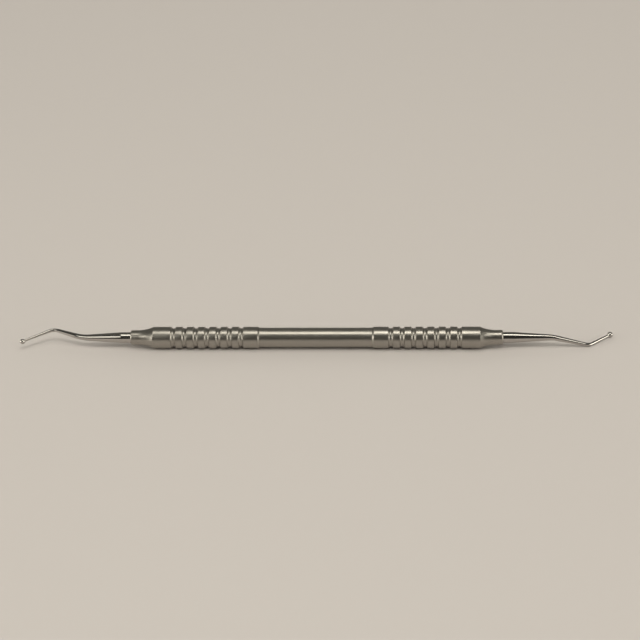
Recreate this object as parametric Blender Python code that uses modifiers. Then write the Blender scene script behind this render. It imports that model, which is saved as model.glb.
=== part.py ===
"""A double-ended composite filling instrument, lying at rest on a flat surface.

The handle is turned from stainless bar, with a grooved grip towards each end and a socket drilled into
each neck. A round shank is pressed into each socket. It is drawn down in cones, bent twice and finished
with a small polished ball.
+X runs along the handle, +Y points behind it and +Z up. The origin lies on the surface, under the
middle of the instrument's box. All sizes are in metres.
"""

import math

import bmesh
import bpy
from mathutils import Vector

# Handle, from its middle outwards
MIDDLE_LENGTH = 0.0343
MIDDLE_DIAMETER = 0.00585
STEP_LENGTH = 0.0005
LAND_DIAMETER = 0.0064
INNER_LAND_LENGTH = 0.00427
GROOVES_PER_GRIP = 7
GROOVE_PITCH = 0.00336
GROOVE_DEPTH = 0.00048
GROOVE_NOSE_RADIUS = 0.0007
GROOVE_FLOOR_WIDTH = 0.00044
OUTER_LAND_LENGTH = 0.0051
COVE_LENGTH = 0.0049
NECK_DIAMETER = 0.0044
NECK_LENGTH = 0.00184
RIM_RADIUS = 0.00028
SOCKET_CHAMFER = 0.00012
SOCKET_SPARE_DEPTH = 0.0006
DRILL_POINT_HALF_ANGLE = math.radians(59)

# The blank that both working ends are bent from, measured from the handle's rim
SHANK_DIAMETER = 0.00315
SEAT_CLEARANCE = 0.00005
TANG_LENGTH = 0.014
TANG_CHAMFER_LENGTH = 0.0004
TANG_CHAMFER_DEPTH = 0.0002
ROOT_LENGTH = 0.0029
FIRST_BEND_DISTANCE = 0.0147
FIRST_BEND_DIAMETER = 0.00168
SECOND_BEND_DIAMETER = 0.00102
TIP_DIAMETER = 0.00062
FIRST_BEND_RADIUS = 0.0135
SECOND_BEND_RADIUS = 0.0032

# Left working end: both legs lie in one plane through the handle's axis
LEFT_PLANE_TILT = math.radians(13)
LEFT_FIRST_LEG = 0.01014
LEFT_FIRST_LEAN = math.radians(21.7)
LEFT_SECOND_LEG = 0.0099
LEFT_SECOND_LEAN = math.radians(33.9)
LEFT_BALL_DIAMETER = 0.0016

# Right working end: the first leg dips to the surface, the second runs back along it
RIGHT_FIRST_LEG = 0.01126
RIGHT_FIRST_LEAN = math.radians(13.4)
RIGHT_SECOND_LEG = 0.00896
RIGHT_SECOND_LEAN = math.radians(42.6)
RIGHT_BALL_DIAMETER = 0.0017

# Fineness of the faceted surfaces
HANDLE_FACETS = 36
RIM_STEPS = 3
COVE_STEPS = 6
GROOVE_FLANK_STEPS = 2
BEND_STEP = math.radians(3.5)
SHANK_BEVEL_RESOLUTION = 8
BALL_SEGMENTS = 24
BALL_RINGS = 14

LAND_RADIUS = LAND_DIAMETER / 2
NECK_RADIUS = NECK_DIAMETER / 2
SHANK_RADIUS = SHANK_DIAMETER / 2
SOCKET_RADIUS = SHANK_RADIUS + SEAT_CLEARANCE
GROOVE_FLANK_WIDTH = math.sqrt(2 * GROOVE_NOSE_RADIUS * GROOVE_DEPTH - GROOVE_DEPTH**2)
GROOVE_WIDTH = GROOVE_FLOOR_WIDTH + 2 * GROOVE_FLANK_WIDTH
GRIP_LENGTH = (GROOVES_PER_GRIP - 1) * GROOVE_PITCH + GROOVE_WIDTH
HALF_HANDLE = (
    MIDDLE_LENGTH / 2
    + INNER_LAND_LENGTH
    + GRIP_LENGTH
    + OUTER_LAND_LENGTH
    + COVE_LENGTH
    + NECK_LENGTH
)


def clear_scene():
    """Removes every object that the scene starts with."""
    for old in list(bpy.data.objects):
        bpy.data.objects.remove(old, do_unlink=True)


def new_collection(name):
    """A collection linked to the scene."""
    collection = bpy.data.collections.new(name)
    bpy.context.scene.collection.children.link(collection)
    return collection


def steel(name, colour, roughness):
    """Bare steel with the given colour and roughness."""
    material = bpy.data.materials.new(name)
    material.use_nodes = True
    shader = material.node_tree.nodes["Principled BSDF"]
    shader.inputs["Base Color"].default_value = (*colour, 1.0)
    shader.inputs["Metallic"].default_value = 1.0
    shader.inputs["Roughness"].default_value = roughness
    return material


def shade_smooth(mesh, sharp_from):
    """Smooth shading with crisp edges above the given angle."""
    mesh.shade_smooth()
    mesh.set_sharp_from_angle(angle=sharp_from)


def groove_outline(centre):
    """One grip groove as (distance, radius) points: a flat floor between two round flanks."""
    floor_radius = LAND_RADIUS - GROOVE_DEPTH
    half_sweep = math.acos(1 - GROOVE_DEPTH / GROOVE_NOSE_RADIUS)
    flank = []
    for step in range(GROOVE_FLANK_STEPS + 1):
        sweep = half_sweep * step / GROOVE_FLANK_STEPS
        away = GROOVE_FLOOR_WIDTH / 2 + GROOVE_NOSE_RADIUS * math.sin(sweep)
        radius = floor_radius + GROOVE_NOSE_RADIUS * (1 - math.cos(sweep))
        flank.append((away, radius))
    inner_side = [(centre - away, radius) for away, radius in reversed(flank)]
    outer_side = [(centre + away, radius) for away, radius in flank]
    return inner_side + outer_side


def cove_outline(start):
    """The hollow sweep from the outer land down to the neck, level where it meets the neck."""
    drop = LAND_RADIUS - NECK_RADIUS
    sweep_radius = (COVE_LENGTH**2 + drop**2) / (2 * drop)
    points = []
    for step in range(COVE_STEPS + 1):
        to_neck = COVE_LENGTH * (1 - step / COVE_STEPS)
        rise = sweep_radius - math.sqrt(sweep_radius**2 - to_neck**2)
        points.append((start + COVE_LENGTH - to_neck, NECK_RADIUS + rise))
    return points


def rim_outline():
    """The rounded rim at the end of the neck, then the flat end face and the socket's chamfer."""
    points = []
    for step in range(RIM_STEPS + 1):
        turn = math.pi / 2 * step / RIM_STEPS
        along = HALF_HANDLE - RIM_RADIUS * (1 - math.sin(turn))
        points.append((along, NECK_RADIUS - RIM_RADIUS * (1 - math.cos(turn))))
    points.append((HALF_HANDLE, SOCKET_RADIUS + SOCKET_CHAMFER))
    points.append((HALF_HANDLE - SOCKET_CHAMFER, SOCKET_RADIUS))
    return points


def socket_outline():
    """The drilled socket's inner end: its full bore, then the drill's cone down to the axis."""
    shoulder = HALF_HANDLE - TANG_LENGTH - SOCKET_SPARE_DEPTH
    cone_depth = SOCKET_RADIUS / math.tan(DRILL_POINT_HALF_ANGLE)
    return [(shoulder, SOCKET_RADIUS), (shoulder - cone_depth, 0.0)]


def half_handle_outline():
    """(distance from the middle, radius) points of one half, along the outside and into the socket."""
    step_end = MIDDLE_LENGTH / 2
    points = [(step_end - STEP_LENGTH, MIDDLE_DIAMETER / 2), (step_end, LAND_RADIUS)]
    first_groove = step_end + INNER_LAND_LENGTH + GROOVE_WIDTH / 2
    for number in range(GROOVES_PER_GRIP):
        points += groove_outline(first_groove + number * GROOVE_PITCH)
    cove_start = step_end + INNER_LAND_LENGTH + GRIP_LENGTH + OUTER_LAND_LENGTH
    return points + cove_outline(cove_start) + rim_outline() + socket_outline()


def make_handle(collection, material):
    """The turned handle: an outline from socket to socket, swept round the X axis."""
    right_half = half_handle_outline()
    left_half = [(-along, radius) for along, radius in right_half]
    # From the right socket's point over the outside to the left socket's point
    outline = right_half[::-1] + left_half
    mesh = bpy.data.meshes.new("handle")
    corners = [(along, radius, 0.0) for along, radius in outline]
    edges = [(i, i + 1) for i in range(len(corners) - 1)]
    mesh.from_pydata(corners, edges, [])
    handle = bpy.data.objects.new("handle", mesh)
    collection.objects.link(handle)
    turn = handle.modifiers.new("turn", "SCREW")
    turn.axis = "X"
    turn.steps = HANDLE_FACETS
    turn.render_steps = HANDLE_FACETS
    turn.use_merge_vertices = True
    turn.merge_threshold = 0.000001
    turn.use_smooth_shade = True
    handle.data.materials.append(material)
    return handle


def leaning(side, lean, towards):
    """A direction that leans away from the handle's outward axis. Towards 0 is +Y, 90 degrees is up."""
    return Vector(
        (
            side * math.cos(lean),
            math.sin(lean) * math.cos(towards),
            math.sin(lean) * math.sin(towards),
        )
    )


def rounded_route(corners, bend_radii):
    """Points along straight legs whose inner corners are replaced by arcs of the given radii."""
    route = [corners[0]]
    for number, bend_radius in enumerate(bend_radii, start=1):
        corner = corners[number]
        arriving = (corner - corners[number - 1]).normalized()
        leaving = (corners[number + 1] - corner).normalized()
        turn = arriving.angle(leaving)
        setback = bend_radius * math.tan(turn / 2)
        inward = (leaving - arriving).normalized()
        centre = corner + inward * (bend_radius / math.cos(turn / 2))
        spoke = corner - arriving * setback - centre
        steps = max(2, math.ceil(turn / BEND_STEP))
        for step in range(steps + 1):
            swept = turn * step / steps
            along = math.sin(swept) * bend_radius
            route.append(centre + spoke * math.cos(swept) + arriving * along)
    route.append(corners[-1])
    return route


def with_distances(route, start):
    """(distance along the route, point) pairs, the first at the given distance."""
    distance = start
    measured = [(distance, route[0])]
    for before, after in zip(route, route[1:]):
        distance += (after - before).length
        measured.append((distance, after))
    return measured


def blank_radius(distance, second_bend, tip):
    """The blank's radius at a distance from the handle's rim. Cones join its turned diameters."""
    stations = [
        (-TANG_LENGTH, SHANK_RADIUS - TANG_CHAMFER_DEPTH),
        (-TANG_LENGTH + TANG_CHAMFER_LENGTH, SHANK_RADIUS),
        (ROOT_LENGTH, SHANK_RADIUS),
        (FIRST_BEND_DISTANCE, FIRST_BEND_DIAMETER / 2),
        (second_bend, SECOND_BEND_DIAMETER / 2),
        (tip, TIP_DIAMETER / 2),
    ]
    for (near, near_radius), (far, far_radius) in zip(stations, stations[1:]):
        if distance <= far:
            share = (distance - near) / (far - near)
            return near_radius + share * (far_radius - near_radius)
    return TIP_DIAMETER / 2


def make_shank_mesh(name, measured, second_bend):
    """The blank as a closed mesh that follows its bent route, one ring of points at each station."""
    curve = bpy.data.curves.new(name, "CURVE")
    curve.dimensions = "3D"
    curve.bevel_depth = SHANK_RADIUS
    curve.bevel_resolution = SHANK_BEVEL_RESOLUTION
    curve.use_fill_caps = True
    spline = curve.splines.new("POLY")
    spline.points.add(len(measured) - 1)
    tip = measured[-1][0]
    for point, (distance, place) in zip(spline.points, measured):
        point.co = (*place, 1.0)
        point.radius = blank_radius(distance, second_bend, tip) / SHANK_RADIUS
    guide = bpy.data.objects.new(name, curve)
    bpy.context.scene.collection.objects.link(guide)
    graph = bpy.context.evaluated_depsgraph_get()
    mesh = bpy.data.meshes.new_from_object(guide.evaluated_get(graph))
    bpy.data.objects.remove(guide, do_unlink=True)
    welded = bmesh.new()
    welded.from_mesh(mesh)
    bmesh.ops.remove_doubles(welded, verts=welded.verts, dist=0.000001)
    bmesh.ops.recalc_face_normals(welded, faces=welded.faces)
    welded.to_mesh(mesh)
    welded.free()
    return mesh


def make_ball(name, tools, centre, direction, diameter):
    """The tip's ball, its poles on the wire's line, kept as a tool for the union."""
    ball_mesh = bpy.data.meshes.new(name)
    shape = bmesh.new()
    bmesh.ops.create_uvsphere(
        shape, u_segments=BALL_SEGMENTS, v_segments=BALL_RINGS, radius=diameter / 2
    )
    shape.to_mesh(ball_mesh)
    shape.free()
    ball = bpy.data.objects.new(name, ball_mesh)
    tools.objects.link(ball)
    ball.location = centre
    ball.rotation_euler = direction.to_track_quat("Z", "Y").to_euler()
    ball.hide_render = True
    ball.display_type = "WIRE"
    return ball


def make_working_end(name, side, legs, ball_diameter, collections, material):
    """A blank bent along its two legs, given as vectors, with the ball joined to its tip."""
    parts, tools = collections
    rim = Vector((side * HALF_HANDLE, 0.0, 0.0))
    outward = Vector((side, 0.0, 0.0))
    first_bend = rim + outward * FIRST_BEND_DISTANCE
    second_bend = first_bend + legs[0]
    ball_centre = second_bend + legs[1]
    corners = [rim - outward * TANG_LENGTH, first_bend, second_bend, ball_centre]
    bends = rounded_route(corners, [FIRST_BEND_RADIUS, SECOND_BEND_RADIUS])
    # The turned diameters inside the straight part need a station each
    chamfer_end = rim - outward * (TANG_LENGTH - TANG_CHAMFER_LENGTH)
    cone_start = rim + outward * ROOT_LENGTH
    route = [bends[0], chamfer_end, cone_start] + bends[1:]
    measured = with_distances(route, -TANG_LENGTH)
    mesh = make_shank_mesh(name, measured, FIRST_BEND_DISTANCE + legs[0].length)
    mesh.materials.append(material)
    shank = bpy.data.objects.new(name, mesh)
    parts.objects.link(shank)
    ball = make_ball(name + "_ball", tools, ball_centre, legs[1].normalized(), ball_diameter)
    join = shank.modifiers.new("ball", "BOOLEAN")
    join.operation = "UNION"
    join.solver = "EXACT"
    join.object = ball
    shade_smooth(mesh, math.radians(35))
    return shank, ball


def left_legs():
    """The left end's two legs: out to one side of the axis and back across it, in one plane."""
    return [
        leaning(-1, LEFT_FIRST_LEAN, LEFT_PLANE_TILT) * LEFT_FIRST_LEG,
        leaning(-1, LEFT_SECOND_LEAN, LEFT_PLANE_TILT + math.pi) * LEFT_SECOND_LEG,
    ]


def right_legs():
    """The right end's legs: down towards the surface, then level until the ball rests on it."""
    down = leaning(1, RIGHT_FIRST_LEAN, -math.pi / 2) * RIGHT_FIRST_LEG
    back = leaning(1, RIGHT_SECOND_LEAN, 0.0) * RIGHT_SECOND_LEG
    back.z = RIGHT_BALL_DIAMETER / 2 - LAND_RADIUS - down.z
    return [down, back]


def set_down(assembly, objects):
    """Moves the assembly so that its box stands on the surface, centred on the origin."""
    bpy.context.view_layer.update()
    graph = bpy.context.evaluated_depsgraph_get()
    places = []
    for obj in objects:
        evaluated = obj.evaluated_get(graph)
        mesh = evaluated.to_mesh()
        places += [evaluated.matrix_world @ vertex.co for vertex in mesh.vertices]
        evaluated.to_mesh_clear()
    low = Vector([min(place[axis] for place in places) for axis in range(3)])
    high = Vector([max(place[axis] for place in places) for axis in range(3)])
    assembly.location = (-(low.x + high.x) / 2, -(low.y + high.y) / 2, -low.z)
    bpy.context.view_layer.update()


clear_scene()
instrument = new_collection("composite_filling_instrument")
tools = new_collection("joining_tools")
satin = steel("satin_steel", (0.60, 0.58, 0.55), 0.30)
polished = steel("polished_steel", (0.66, 0.65, 0.63), 0.12)

handle = make_handle(instrument, satin)
left_end, left_ball = make_working_end(
    "working_end_left", -1, left_legs(), LEFT_BALL_DIAMETER, (instrument, tools), polished
)
right_end, right_ball = make_working_end(
    "working_end_right", 1, right_legs(), RIGHT_BALL_DIAMETER, (instrument, tools), polished
)

assembly = bpy.data.objects.new("instrument_axis", None)
instrument.objects.link(assembly)
for piece in (handle, left_end, left_ball, right_end, right_ball):
    piece.parent = assembly
set_down(assembly, [handle, left_end, right_end])
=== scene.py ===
"""A double-ended composite filling instrument of stainless steel, lying on a plain pale surface.

+X runs along the handle, +Y points away from the camera and +Z up. All sizes are in metres.
"""

import math

import bmesh
import bpy
from mathutils import Matrix, Vector


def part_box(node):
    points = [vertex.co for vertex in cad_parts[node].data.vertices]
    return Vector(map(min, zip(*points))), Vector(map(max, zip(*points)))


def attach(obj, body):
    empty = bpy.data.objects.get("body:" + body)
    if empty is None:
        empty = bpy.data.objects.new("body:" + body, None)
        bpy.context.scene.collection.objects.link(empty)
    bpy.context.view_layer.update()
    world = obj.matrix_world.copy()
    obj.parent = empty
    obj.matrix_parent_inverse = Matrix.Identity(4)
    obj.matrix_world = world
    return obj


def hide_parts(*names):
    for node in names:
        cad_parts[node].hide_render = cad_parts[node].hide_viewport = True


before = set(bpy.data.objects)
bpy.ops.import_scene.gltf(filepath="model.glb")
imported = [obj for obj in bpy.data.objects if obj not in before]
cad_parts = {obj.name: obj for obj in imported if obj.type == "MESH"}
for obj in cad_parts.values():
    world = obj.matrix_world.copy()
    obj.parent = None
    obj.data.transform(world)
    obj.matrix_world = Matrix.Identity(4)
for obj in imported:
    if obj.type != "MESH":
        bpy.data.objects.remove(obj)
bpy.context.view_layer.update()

# The handle, turned from one stainless bar between centres. Its outline comes first: a plain middle,
# a step up to the grip on each side, seven round-nosed grooves, a land, and a cove down to the neck.
# Pieces are made with the handle's middle at the origin, and then moved to where the frame has it.
handle_low, handle_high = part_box("handle")
HANDLE_MIDDLE = (handle_low + handle_high) / 2

MIDDLE_LENGTH = 0.0343
MIDDLE_RADIUS = 0.002925
STEP_LENGTH = 0.0005
LAND_RADIUS = 0.0032
INNER_LAND_LENGTH = 0.00427
GROOVES_PER_GRIP = 7
GROOVE_PITCH = 0.00336
GROOVE_DEPTH = 0.00046
GROOVE_RADIUS = 0.00079
LIP_ROUNDING = 0.00008
OUTER_LAND_LENGTH = 0.00531
COVE_LENGTH = 0.0049
SHOULDER_ROUNDING = 0.0006
NECK_RADIUS = 0.0022
NECK_LENGTH = 0.00184
RIM_RADIUS = 0.0004
SOCKET_RADIUS = 0.001675
SOCKET_CHAMFER = 0.00012
SOCKET_DEPTH = 0.0146
DRILL_POINT_DEPTH = 0.00098
TURNING_SPOKES = 96
ROUNDING_STEPS = 6
COVE_STEPS = 14
WELD_DISTANCE = 1e-7
SHARP_EDGE = math.radians(50)

GROOVE_HALF_WIDTH = math.sqrt(2 * GROOVE_RADIUS * GROOVE_DEPTH - GROOVE_DEPTH**2)
FIRST_GROOVE = MIDDLE_LENGTH / 2 + INNER_LAND_LENGTH + GROOVE_HALF_WIDTH
LAST_GROOVE = FIRST_GROOVE + (GROOVES_PER_GRIP - 1) * GROOVE_PITCH
COVE_START = LAST_GROOVE + GROOVE_HALF_WIDTH + OUTER_LAND_LENGTH
HANDLE_END = COVE_START + COVE_LENGTH + NECK_LENGTH


def place(tree, kind, inputs=None, **settings):
    """Adds a node. An input, by name or number, is a plain value or the socket that feeds it."""
    made = tree.nodes.new(kind)
    for name, value in settings.items():
        setattr(made, name, value)
    for name, value in (inputs or {}).items():
        if isinstance(value, bpy.types.NodeSocket):
            tree.links.new(value, made.inputs[name])
        else:
            made.inputs[name].default_value = value
    return made


def sum_up(tree, operation, *values):
    """The output of a Math node."""
    return place(tree, "ShaderNodeMath", dict(enumerate(values)), operation=operation).outputs[0]


def new_tree(name, kind, inputs, outputs):
    """A node group with the named sockets. Returns it with its input node."""
    tree = bpy.data.node_groups.new(name, kind)
    for socket, form in inputs.items():
        tree.interface.new_socket(socket, in_out="INPUT", socket_type="NodeSocket" + form)
    for socket, form in outputs.items():
        tree.interface.new_socket(socket, in_out="OUTPUT", socket_type="NodeSocket" + form)
    return tree, tree.nodes.new("NodeGroupInput")


def turned_row_tree():
    """Rounds an outline's corners, sweeps it round the X axis and repeats the result along X."""
    tree, given = new_tree(
        "Turned row",
        "GeometryNodeTree",
        {
            "Outline": "Geometry",
            "Rounding Steps": "Int",
            "Spokes": "Int",
            "Repeats": "Int",
            "Pitch": "Float",
            "Metal": "Material",
        },
        {"Turned": "Geometry"},
    )
    corner_radius = place(tree, "GeometryNodeInputRadius").outputs[0]
    rounded = place(
        tree,
        "GeometryNodeFilletCurve",
        {
            "Curve": given.outputs["Outline"],
            "Count": given.outputs["Rounding Steps"],
            "Radius": corner_radius,
            "Limit Radius": True,
        },
        mode="POLY",
    ).outputs[0]
    outline_points = place(
        tree, "GeometryNodeAttributeDomainSize", {"Geometry": rounded}, component="CURVE"
    ).outputs["Point Count"]
    rows = sum_up(tree, "ADD", given.outputs["Spokes"], 1)
    sheet = place(
        tree, "GeometryNodeMeshGrid", {"Vertices X": outline_points, "Vertices Y": rows}
    ).outputs[0]
    # A point's ring is its index over the rows. The added half keeps the division off whole numbers.
    index = place(tree, "GeometryNodeInputIndex").outputs[0]
    ring = sum_up(tree, "FLOOR", sum_up(tree, "DIVIDE", sum_up(tree, "ADD", index, 0.5), rows))
    spoke = sum_up(tree, "SUBTRACT", index, sum_up(tree, "MULTIPLY", ring, rows))
    spoke_turns = sum_up(tree, "MULTIPLY", spoke, 2 * math.pi)
    angle = sum_up(tree, "DIVIDE", spoke_turns, given.outputs["Spokes"])
    position = place(tree, "GeometryNodeInputPosition").outputs[0]
    corner = place(
        tree,
        "GeometryNodeSampleIndex",
        {"Geometry": rounded, "Value": position, "Index": ring},
        data_type="FLOAT_VECTOR",
        domain="POINT",
    ).outputs[0]
    parts = place(tree, "ShaderNodeSeparateXYZ", {0: corner})
    radius = parts.outputs["Y"]
    swept = place(
        tree,
        "ShaderNodeCombineXYZ",
        {
            "X": parts.outputs["X"],
            "Y": sum_up(tree, "MULTIPLY", radius, sum_up(tree, "COSINE", angle)),
            "Z": sum_up(tree, "MULTIPLY", radius, sum_up(tree, "SINE", angle)),
        },
    ).outputs[0]
    sleeve = place(tree, "GeometryNodeSetPosition", {"Geometry": sheet, "Position": swept}).outputs[0]
    offset = place(tree, "ShaderNodeCombineXYZ", {"X": given.outputs["Pitch"]}).outputs[0]
    stops = place(tree, "GeometryNodeMeshLine", {"Count": given.outputs["Repeats"], "Offset": offset})
    copies = place(tree, "GeometryNodeInstanceOnPoints", {"Points": stops.outputs[0], "Instance": sleeve})
    solid = place(tree, "GeometryNodeRealizeInstances", {0: copies.outputs[0]})
    welded = place(
        tree, "GeometryNodeMergeByDistance", {"Geometry": solid.outputs[0], "Distance": WELD_DISTANCE}
    )
    finished = place(
        tree, "GeometryNodeSetMaterial", {0: welded.outputs[0], "Material": given.outputs["Metal"]}
    )
    place(tree, "NodeGroupOutput", {"Turned": finished.outputs[0]})
    return tree


TURNED_ROW = turned_row_tree()


def shaped_by(name, tree, corners, settings):
    """The mesh that a geometry tree makes of a line of (x, y, z, corner radius) points."""
    line = bpy.data.curves.new(name, "CURVE")
    line.dimensions = "3D"
    spline = line.splines.new("POLY")
    spline.points.add(len(corners) - 1)
    for point, (x, y, z, rounding) in zip(spline.points, corners):
        point.co = (x, y, z, 1.0)
        point.radius = rounding
    guide = bpy.data.objects.new(name, line)
    bpy.context.scene.collection.objects.link(guide)
    modifier = guide.modifiers.new(tree.name, "NODES")
    modifier.node_group = tree
    for item in tree.interface.items_tree:
        if item.in_out == "INPUT" and item.name in settings:
            modifier[item.identifier] = settings[item.name]
    graph = bpy.context.evaluated_depsgraph_get()
    mesh = bpy.data.meshes.new_from_object(guide.evaluated_get(graph))
    bpy.data.objects.remove(guide, do_unlink=True)
    return mesh


def turned(outline, metal, repeats=1, rounding_steps=ROUNDING_STEPS):
    """A turned stretch whose outline is a list of (along, radius, corner radius)."""
    corners = [(along, radius, 0.0, rounding) for along, radius, rounding in outline]
    return shaped_by(
        "outline",
        TURNED_ROW,
        corners,
        {
            "Rounding Steps": rounding_steps,
            "Spokes": TURNING_SPOKES,
            "Repeats": repeats,
            "Pitch": GROOVE_PITCH,
            "Metal": metal,
        },
    )


def welded_piece(name, meshes, metal, body, node):
    """Joins meshes into one closed piece at the handle's place, and puts it in its node's stead."""
    shape = bmesh.new()
    for mesh in meshes:
        shape.from_mesh(mesh)
        bpy.data.meshes.remove(mesh)
    bmesh.ops.remove_doubles(shape, verts=shape.verts, dist=WELD_DISTANCE)
    bmesh.ops.recalc_face_normals(shape, faces=shape.faces)
    bmesh.ops.transform(shape, matrix=Matrix.Translation(HANDLE_MIDDLE), verts=shape.verts)
    joined = bpy.data.meshes.new(name)
    shape.to_mesh(joined)
    shape.free()
    joined.shade_smooth()
    joined.set_sharp_from_angle(angle=SHARP_EDGE)
    joined.materials.append(metal)
    piece = bpy.data.objects.new(name, joined)
    bpy.context.scene.collection.objects.link(piece)
    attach(piece, body)
    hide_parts(node)


def turned_marks_group():
    """Fine rings left by turning, with the faint smudges that handling leaves on bare steel."""
    tree, given = new_tree(
        "Turned marks",
        "ShaderNodeTree",
        {"Along": "Float", "Point": "Vector", "Line Spacing": "Float", "Smudge Size": "Float"},
        {"Lines": "Float", "Smudges": "Float"},
    )
    turns = sum_up(tree, "DIVIDE", given.outputs["Along"], given.outputs["Line Spacing"])
    lines = place(
        tree,
        "ShaderNodeTexNoise",
        {"W": turns, "Scale": 1.0, "Detail": 3.0, "Roughness": 0.7},
        noise_dimensions="1D",
    )
    per_metre = sum_up(tree, "DIVIDE", 1.0, given.outputs["Smudge Size"])
    smudges = place(
        tree,
        "ShaderNodeTexNoise",
        {"Vector": given.outputs["Point"], "Scale": per_metre, "Detail": 4.0, "Roughness": 0.6},
    )
    place(tree, "NodeGroupOutput", {"Lines": lines.outputs[0], "Smudges": smudges.outputs[0]})
    return tree


TURNED_MARKS = turned_marks_group()


def steel(name, colour, roughness, roughness_spread, line_spacing, line_depth, smudge_size):
    """Bare stainless steel with turning lines and smudges at the given scales."""
    material = bpy.data.materials.new(name)
    material.use_nodes = True
    tree = material.node_tree
    shader = tree.nodes["Principled BSDF"]
    shader.inputs["Metallic"].default_value = 1.0
    coordinates = place(tree, "ShaderNodeTexCoord").outputs["Object"]
    along = place(tree, "ShaderNodeSeparateXYZ", {0: coordinates}).outputs["X"]
    marks = place(
        tree,
        "ShaderNodeGroup",
        {
            "Along": along,
            "Point": coordinates,
            "Line Spacing": line_spacing,
            "Smudge Size": smudge_size,
        },
        node_tree=TURNED_MARKS,
    )
    tone = place(
        tree,
        "ShaderNodeMapRange",
        {
            "Value": marks.outputs["Lines"],
            "From Min": 0.25,
            "From Max": 0.75,
            "To Min": 0.93,
            "To Max": 1.06,
        },
    ).outputs[0]
    shade = place(tree, "ShaderNodeVectorMath", {0: colour, "Scale": tone}, operation="SCALE").outputs[0]
    tree.links.new(shade, shader.inputs["Base Color"])
    rough = place(
        tree,
        "ShaderNodeMapRange",
        {
            "Value": marks.outputs["Smudges"],
            "From Min": 0.3,
            "From Max": 0.7,
            "To Min": roughness - roughness_spread,
            "To Max": roughness + roughness_spread,
        },
    ).outputs[0]
    tree.links.new(rough, shader.inputs["Roughness"])
    relief = place(
        tree,
        "ShaderNodeBump",
        {"Height": marks.outputs["Lines"], "Distance": line_depth, "Strength": 1.0},
    ).outputs[0]
    tree.links.new(relief, shader.inputs["Normal"])
    return material


SATIN_STEEL = steel(
    "satin_turned_steel",
    colour=(0.395, 0.371, 0.337),
    roughness=0.33,
    roughness_spread=0.03,
    line_spacing=0.00012,
    line_depth=0.0000006,
    smudge_size=0.0035,
)

middle_reach = FIRST_GROOVE - GROOVE_PITCH / 2
middle_outline = []
for side in (-1, 1):
    shoulder = [
        (side * (MIDDLE_LENGTH / 2 - STEP_LENGTH), MIDDLE_RADIUS, LIP_ROUNDING),
        (side * MIDDLE_LENGTH / 2, LAND_RADIUS, LIP_ROUNDING),
        (side * middle_reach, LAND_RADIUS, 0.0),
    ]
    middle_outline += shoulder if side > 0 else shoulder[::-1]

GROOVE_STEPS = 14


def groove_outline(centre):
    """One round-bottomed groove with half of the land on each side of it."""
    outline = [(centre - GROOVE_PITCH / 2, LAND_RADIUS, 0.0)]
    half_sweep = math.asin(GROOVE_HALF_WIDTH / GROOVE_RADIUS)
    for step in range(GROOVE_STEPS + 1):
        sweep = half_sweep * (2 * step / GROOVE_STEPS - 1)
        radius = LAND_RADIUS - GROOVE_DEPTH + GROOVE_RADIUS * (1 - math.cos(sweep))
        softening = LIP_ROUNDING if step in (0, GROOVE_STEPS) else 0.0
        outline.append((centre + GROOVE_RADIUS * math.sin(sweep), radius, softening))
    return outline + [(centre + GROOVE_PITCH / 2, LAND_RADIUS, 0.0)]


cove_drop = LAND_RADIUS - NECK_RADIUS
cove_radius = (COVE_LENGTH**2 + cove_drop**2) / (2 * cove_drop)
cove_run_out = cove_radius * math.tan(math.atan(cove_drop / COVE_LENGTH))


def neck_outline(side):
    """The land, cove, neck and rim at one end, and the socket drilled into it."""
    outline = [
        (LAST_GROOVE + GROOVE_PITCH / 2, LAND_RADIUS, 0.0),
        (COVE_START, LAND_RADIUS, SHOULDER_ROUNDING),
        (COVE_START + COVE_LENGTH - cove_run_out, NECK_RADIUS, cove_radius),
        (HANDLE_END, NECK_RADIUS, RIM_RADIUS),
        (HANDLE_END, SOCKET_RADIUS + SOCKET_CHAMFER, 0.0),
        (HANDLE_END - SOCKET_CHAMFER, SOCKET_RADIUS, 0.0),
        (HANDLE_END - SOCKET_DEPTH, SOCKET_RADIUS, 0.0),
        (HANDLE_END - SOCKET_DEPTH - DRILL_POINT_DEPTH, 0.0, 0.0),
    ]
    return [(side * along, radius, rounding) for along, radius, rounding in outline]


stretches = [turned(middle_outline, SATIN_STEEL)]
for first in (FIRST_GROOVE, -LAST_GROOVE):
    stretches.append(turned(groove_outline(first), SATIN_STEEL, repeats=GROOVES_PER_GRIP))
for side in (-1, 1):
    stretches.append(turned(neck_outline(side), SATIN_STEEL, rounding_steps=COVE_STEPS))
welded_piece("turned_handle", stretches, SATIN_STEEL, "root", "handle")

# The working ends, two polished blanks of harder stainless wire. Each is turned down in cones, bent
# twice, ends in a small ball and is pressed into its socket. The route runs from the tang's end in
# the socket to the far side of the ball.
SHANK_RADIUS = 0.001625
TANG_LENGTH = 0.014
ROOT_LENGTH = 0.0029
SHOULDER_SOFTENING = 0.00015
FIRST_BEND_DISTANCE = 0.0147
FIRST_BEND_WIRE_RADIUS = 0.00084
SECOND_BEND_WIRE_RADIUS = 0.00051
TIP_WIRE_RADIUS = 0.00031
FIRST_BEND_RADIUS = 0.0135
SECOND_BEND_RADIUS = 0.0032
WIRE_FACETS = 48
BEND_STEPS = 20
BALL_STEPS = 20


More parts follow.
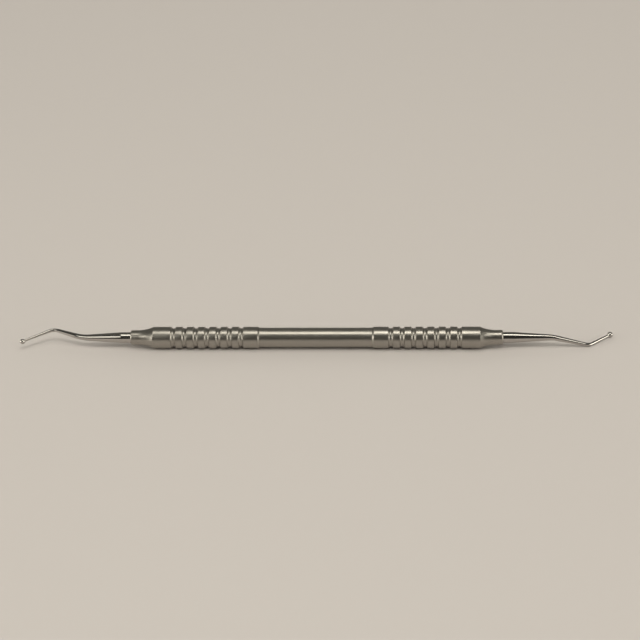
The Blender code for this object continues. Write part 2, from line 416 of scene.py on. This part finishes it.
def bent_blank_tree():
    """Rounds the bends of a route and sweeps a wire along it whose radius follows the turned cones."""
    tree, given = new_tree(
        "Bent blank",
        "GeometryNodeTree",
        {
            "Route": "Geometry",
            "Bend Steps": "Int",
            "Facets": "Int",
            "Tang Length": "Float",
            "Shank Radius": "Float",
            "Root Length": "Float",
            "First Bend": "Float",
            "First Bend Wire": "Float",
            "Second Bend": "Float",
            "Second Bend Wire": "Float",
            "Tip Wire": "Float",
            "Ball Radius": "Float",
            "Metal": "Material",
        },
        {"Blank": "Geometry"},
    )
    bend_radius = place(tree, "GeometryNodeInputRadius").outputs[0]
    route = place(
        tree,
        "GeometryNodeFilletCurve",
        {
            "Curve": given.outputs["Route"],
            "Count": given.outputs["Bend Steps"],
            "Radius": bend_radius,
            "Limit Radius": True,
        },
        mode="POLY",
    ).outputs[0]
    ball_radius = given.outputs["Ball Radius"]
    reached = place(tree, "GeometryNodeSplineParameter").outputs["Length"]
    from_rim = sum_up(tree, "SUBTRACT", reached, given.outputs["Tang Length"])
    total = place(tree, "GeometryNodeCurveLength", {0: route}).outputs[0]
    ball_centre = sum_up(tree, "SUBTRACT", total, ball_radius)
    to_ball = sum_up(tree, "SUBTRACT", ball_centre, given.outputs["Tang Length"])

    def cone(near, far, near_radius, far_radius):
        """The wire's radius along one cone, which runs on past both ends."""
        span = {
            "Value": from_rim,
            "From Min": near,
            "From Max": far,
            "To Min": near_radius,
            "To Max": far_radius,
        }
        return place(tree, "ShaderNodeMapRange", span, clamp=False).outputs[0]

    first = cone(
        given.outputs["Root Length"],
        given.outputs["First Bend"],
        given.outputs["Shank Radius"],
        given.outputs["First Bend Wire"],
    )
    second = cone(
        given.outputs["First Bend"],
        given.outputs["Second Bend"],
        given.outputs["First Bend Wire"],
        given.outputs["Second Bend Wire"],
    )
    third = cone(
        given.outputs["Second Bend"], to_ball, given.outputs["Second Bend Wire"], given.outputs["Tip Wire"]
    )
    cones = sum_up(tree, "MAXIMUM", sum_up(tree, "MAXIMUM", first, second), third)
    wire = sum_up(tree, "MINIMUM", cones, given.outputs["Shank Radius"])
    past_centre = sum_up(tree, "SUBTRACT", from_rim, to_ball)
    before_centre = sum_up(tree, "LESS_THAN", past_centre, 0.0)
    left_over = sum_up(
        tree,
        "SUBTRACT",
        sum_up(tree, "MULTIPLY", ball_radius, ball_radius),
        sum_up(tree, "MULTIPLY", past_centre, past_centre),
    )
    ball = sum_up(tree, "SQRT", sum_up(tree, "MAXIMUM", left_over, 0.0))
    radius = sum_up(tree, "MAXIMUM", sum_up(tree, "MULTIPLY", wire, before_centre), ball)
    ring = place(
        tree, "GeometryNodeCurvePrimitiveCircle", {"Resolution": given.outputs["Facets"], "Radius": 1.0}
    ).outputs[0]
    swept = place(
        tree,
        "GeometryNodeCurveToMesh",
        {"Curve": route, "Profile Curve": ring, "Scale": radius, "Fill Caps": True},
    )
    finished = place(
        tree, "GeometryNodeSetMaterial", {0: swept.outputs[0], "Material": given.outputs["Metal"]}
    )
    place(tree, "NodeGroupOutput", {"Blank": finished.outputs[0]})
    return tree


BENT_BLANK = bent_blank_tree()
POLISHED_STEEL = steel(
    "polished_instrument_steel",
    colour=(0.50, 0.475, 0.45),
    roughness=0.10,
    roughness_spread=0.02,
    line_spacing=0.0003,
    line_depth=0.0000002,
    smudge_size=0.002,
)


def leaning(side, lean, towards):
    """A direction that leans away from the handle's outward axis. Towards 0 is +Y, 90 degrees is up."""
    return Vector(
        (side * math.cos(lean), math.sin(lean) * math.cos(towards), math.sin(lean) * math.sin(towards))
    )


def working_end(name, side, legs, ball_radius, node):
    """One bent blank with its ball, seated in the handle's socket."""
    outward = Vector((side, 0.0, 0.0))
    rim = outward * HANDLE_END
    first_bend = rim + outward * FIRST_BEND_DISTANCE
    second_bend = first_bend + legs[0]
    ball = second_bend + legs[1]
    tip_direction = legs[1].normalized()
    route = [(rim - outward * TANG_LENGTH, 0.0)]
    for softening in (-SHOULDER_SOFTENING, SHOULDER_SOFTENING):
        route.append((rim + outward * (ROOT_LENGTH + softening), 0.0))
    route += [(first_bend, FIRST_BEND_RADIUS), (second_bend, SECOND_BEND_RADIUS)]
    join = math.asin(TIP_WIRE_RADIUS / ball_radius)
    for step in range(BALL_STEPS + 1):
        turn = join + (math.pi - join) * step / BALL_STEPS
        route.append((ball - tip_direction * ball_radius * math.cos(turn), 0.0))
    corners = [(*point, rounding) for point, rounding in route]
    blank = shaped_by(
        "route",
        BENT_BLANK,
        corners,
        {
            "Bend Steps": BEND_STEPS,
            "Facets": WIRE_FACETS,
            "Tang Length": TANG_LENGTH,
            "Shank Radius": SHANK_RADIUS,
            "Root Length": ROOT_LENGTH,
            "First Bend": FIRST_BEND_DISTANCE,
            "First Bend Wire": FIRST_BEND_WIRE_RADIUS,
            "Second Bend": FIRST_BEND_DISTANCE + legs[0].length,
            "Second Bend Wire": SECOND_BEND_WIRE_RADIUS,
            "Tip Wire": TIP_WIRE_RADIUS,
            "Ball Radius": ball_radius,
            "Metal": POLISHED_STEEL,
        },
    )
    welded_piece(name, [blank], POLISHED_STEEL, "root", node)


# The left working end. Its two legs lie in one plane through the handle's axis, which is tilted a
# little from the level. The whole end stays above the surface.
LEFT_PLANE_TILT = math.radians(13)
LEFT_FIRST_LEG = 0.00995
LEFT_FIRST_LEAN = math.radians(21.7)
LEFT_SECOND_LEG = 0.01008
LEFT_SECOND_LEAN = math.radians(32.4)
LEFT_BALL_RADIUS = 0.0008

left_legs = [
    leaning(-1, LEFT_FIRST_LEAN, LEFT_PLANE_TILT) * LEFT_FIRST_LEG,
    leaning(-1, LEFT_SECOND_LEAN, LEFT_PLANE_TILT + math.pi) * LEFT_SECOND_LEG,
]
working_end("left_working_end", -1, left_legs, LEFT_BALL_RADIUS, "working_end_left")

# The right working end. Its first leg dips almost to the surface, and its second runs away from the
# camera just above it, to the ball that rests there.
RIGHT_FIRST_LEG = 0.0109
RIGHT_FIRST_LEAN = math.radians(13.85)
RIGHT_SECOND_LEG = 0.00893
RIGHT_SECOND_LEAN = math.radians(41.0)
RIGHT_BALL_RADIUS = 0.00085

leg_down = leaning(1, RIGHT_FIRST_LEAN, -math.pi / 2) * RIGHT_FIRST_LEG
leg_back = leaning(1, RIGHT_SECOND_LEAN, 0.0) * RIGHT_SECOND_LEG
leg_back.z = RIGHT_BALL_RADIUS - LAND_RADIUS - leg_down.z
working_end("right_working_end", 1, [leg_down, leg_back], RIGHT_BALL_RADIUS, "working_end_right")

# The surface that the instrument lies on, a wide flat sheet in a warm pale grey. It is matt, and it
# reaches far past the picture.
FLOOR_REACH = 2.5
FLOOR_COLOUR = (0.55, 0.512, 0.50)
FLOOR_ROUGHNESS = 0.9
FLOOR_SPECULAR = 0.1

floor_mesh = bpy.data.meshes.new("floor")
floor_shape = bmesh.new()
bmesh.ops.create_grid(floor_shape, x_segments=1, y_segments=1, size=FLOOR_REACH)
floor_shape.to_mesh(floor_mesh)
floor_shape.free()
floor = bpy.data.objects.new("floor", floor_mesh)
bpy.context.scene.collection.objects.link(floor)

matt = bpy.data.materials.new("matt_sheet")
matt.use_nodes = True
matt_shader = matt.node_tree.nodes["Principled BSDF"]
matt_shader.inputs["Base Color"].default_value = (*FLOOR_COLOUR, 1.0)
matt_shader.inputs["Roughness"].default_value = FLOOR_ROUGHNESS
matt_shader.inputs["Specular IOR Level"].default_value = FLOOR_SPECULAR
floor_mesh.materials.append(matt)

# The light, all of it warm white. Three soft boxes overhead and one at each front corner draw the
# bright lines on the steel. A key lamp and the bounce of the ceiling and of the wall behind light
# the surface. The room is dim, with pale walls to the left and right.
WARM_WHITE = (1.0, 0.975, 0.87)


def soft_box(name, centre, width, depth, radiance, mirrored=True, lighting=True):
    """A rectangular lamp of even radiance that faces the instrument, with its width along X."""
    lamp = bpy.data.lights.new(name, "AREA")
    lamp.shape = "RECTANGLE"
    lamp.size = width
    lamp.size_y = depth
    lamp.energy = radiance * math.pi * width * depth
    lamp.color = WARM_WHITE
    box = bpy.data.objects.new(name, lamp)
    bpy.context.scene.collection.objects.link(box)
    facing = Vector(centre).normalized()
    across = Vector((1.0, 0.0, 0.0))
    across = (across - facing * across.dot(facing)).normalized()
    turn = Matrix((across, facing.cross(across), facing)).transposed().to_4x4()
    box.matrix_world = Matrix.Translation(centre) @ turn
    box.visible_glossy = mirrored
    box.visible_diffuse = lighting


soft_box(
    "overhead_left_box", (-0.119, -0.08, 0.60), width=0.162, depth=0.25, radiance=2.6, lighting=False
)
soft_box(
    "overhead_middle_box", (0.031, -0.075, 0.60), width=0.118, depth=0.25, radiance=4.5, lighting=False
)
soft_box(
    "overhead_right_box", (0.195, -0.055, 0.60), width=0.21, depth=0.13, radiance=5.0, lighting=False
)
soft_box("left_front_box", (-0.40, -0.475, 0.50), width=0.30, depth=0.34, radiance=2.1)
soft_box("right_front_box", (0.43, -0.344, 0.64), width=0.14, depth=0.40, radiance=2.3)
soft_box("key_lamp", (0.03, -0.52, 1.10), width=0.18, depth=0.18, radiance=27.5, mirrored=False)
soft_box("ceiling_bounce", (0.0, -0.60, 1.95), width=2.4, depth=2.4, radiance=1.35, mirrored=False)
soft_box("back_bounce", (0.0, 1.5, 0.75), width=3.0, depth=1.4, radiance=0.9, mirrored=False)

world = bpy.data.worlds.new("room")
bpy.context.scene.world = world
world.use_nodes = True
room = world.node_tree
background = room.nodes["Background"]
direction = place(
    room, "ShaderNodeSeparateXYZ", {0: place(room, "ShaderNodeTexCoord").outputs["Generated"]}
).outputs


def fade(value, start, end, from_strength, to_strength):
    """A smooth change of strength while a direction's component goes from start to end."""
    span = {
        "Value": value,
        "From Min": start,
        "From Max": end,
        "To Min": from_strength,
        "To Max": to_strength,
    }
    return place(room, "ShaderNodeMapRange", span, interpolation_type="SMOOTHSTEP").outputs[0]


back = fade(direction["Y"], start=-0.3, end=0.7, from_strength=0.045, to_strength=0.16)
sideways = sum_up(room, "ABSOLUTE", direction["X"])
side_walls = fade(sideways, start=0.7, end=0.95, from_strength=0.0, to_strength=5.0)
below_ceiling = fade(direction["Z"], start=0.25, end=0.55, from_strength=1.0, to_strength=0.05)
towards_front = fade(direction["Y"], start=-0.05, end=0.35, from_strength=1.0, to_strength=0.05)
low_walls = sum_up(room, "MULTIPLY", side_walls, below_ceiling)
walls = sum_up(room, "MULTIPLY", low_walls, towards_front)
room.links.new(sum_up(room, "ADD", back, walls), background.inputs["Strength"])
background.inputs["Color"].default_value = (*WARM_WHITE, 1.0)

# The camera, slightly right of the handle's middle and 29 degrees above the surface, as the
# photograph was taken. It looks at the handle's middle and then tips up a little.
CAMERA_ELEVATION = math.radians(29)
CAMERA_DISTANCE = 0.480
CAMERA_SIDE_STEP = 0.0275
CAMERA_AIM = 0.00121
CAMERA_TIP_UP = 0.01077
CAMERA_ROLL = 0.00056
CAMERA_LENS = 91.38

eye = HANDLE_MIDDLE + Vector(
    (
        CAMERA_SIDE_STEP,
        -CAMERA_DISTANCE * math.cos(CAMERA_ELEVATION),
        CAMERA_DISTANCE * math.sin(CAMERA_ELEVATION),
    )
)
forward = (HANDLE_MIDDLE + Vector((CAMERA_AIM, 0.0, 0.0)) - eye).normalized()
rightward = (Vector((1.0, 0.0, 0.0)) - forward * forward.x).normalized()
upward = rightward.cross(forward)
turn = Matrix((rightward, upward, -forward)).transposed()
turn = turn @ Matrix.Rotation(CAMERA_TIP_UP, 3, "X") @ Matrix.Rotation(-CAMERA_ROLL, 3, "Z")
lens = bpy.data.cameras.new("camera")
lens.lens = CAMERA_LENS
lens.sensor_width = 36.0
lens.clip_start = 0.01
camera = bpy.data.objects.new("camera", lens)
bpy.context.scene.collection.objects.link(camera)
camera.matrix_world = Matrix.Translation(eye) @ turn.to_4x4()
bpy.context.scene.camera = camera
bpy.context.scene.view_settings.view_transform = "Standard"
